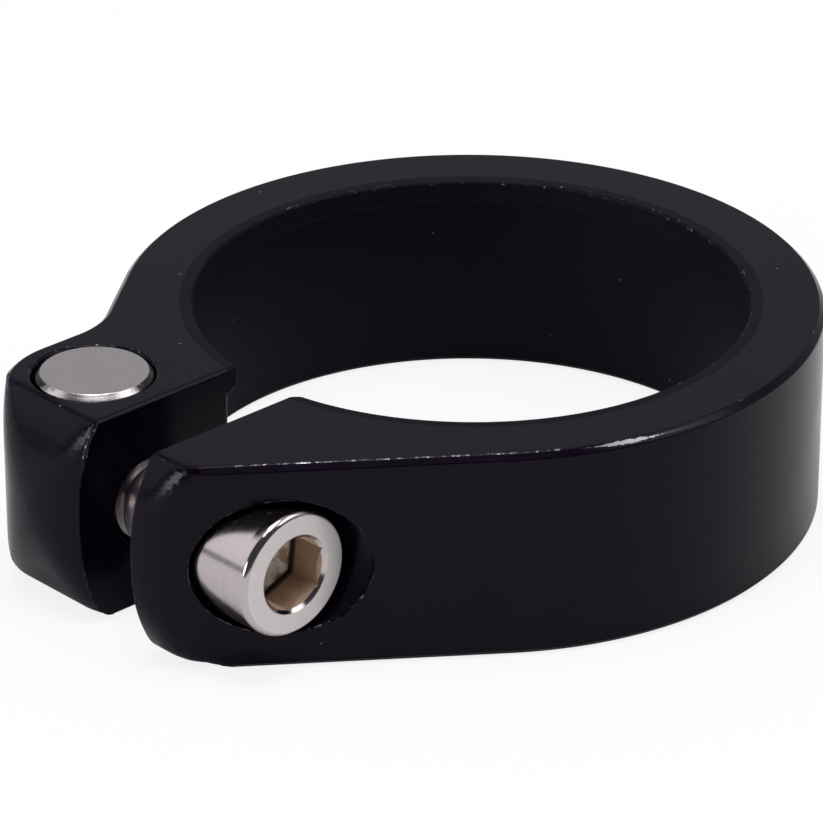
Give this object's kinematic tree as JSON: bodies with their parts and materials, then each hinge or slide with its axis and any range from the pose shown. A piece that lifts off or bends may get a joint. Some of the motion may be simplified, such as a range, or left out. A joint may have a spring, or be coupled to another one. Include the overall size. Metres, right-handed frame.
{
  "type": "seatpost clamp",
  "caption": "Slit collar that clamps a seatpost in a bicycle's seat tube: inner lip, two crowned ears, a cross barrel nut and a socket head bolt in a counterbore.",
  "frame": {"origin": "on the seat tube bore's axis, at half the collar's height", "axes": "+Z along the bore, towards the lip; -Y from the bore towards the slit and the ears; +X from the barrel nut towards the bolt's head"},
  "size_m": [0.0424, 0.0506, 0.0132],
  "materials": {
    "black_anodised": "satin black anodised, with bare metal at worn edges",
    "turned_steel": "fine turned face",
    "bolt_steel": "bright stainless"
  },
  "bodies": {
    "collar_body": {"collar": "black_anodised"},
    "nut_body": {"barrel_nut": "turned_steel"},
    "bolt_body": {"clamp_bolt": "bolt_steel"}
  },
  "joints": [
    {"name": "nut_swivel", "type": "hinge", "parent": "collar_body", "child": "nut_body", "pos_m": [-0.0074, -0.02335, 0], "axis": [0, 0, 1], "range_deg": [-0.9, 0.9]},
    {"name": "bolt_turn", "type": "hinge", "parent": "nut_body", "child": "bolt_body", "pos_m": [0, -0.02335, 0], "axis": [1, 0, 0], "continuous": true}
  ]
}
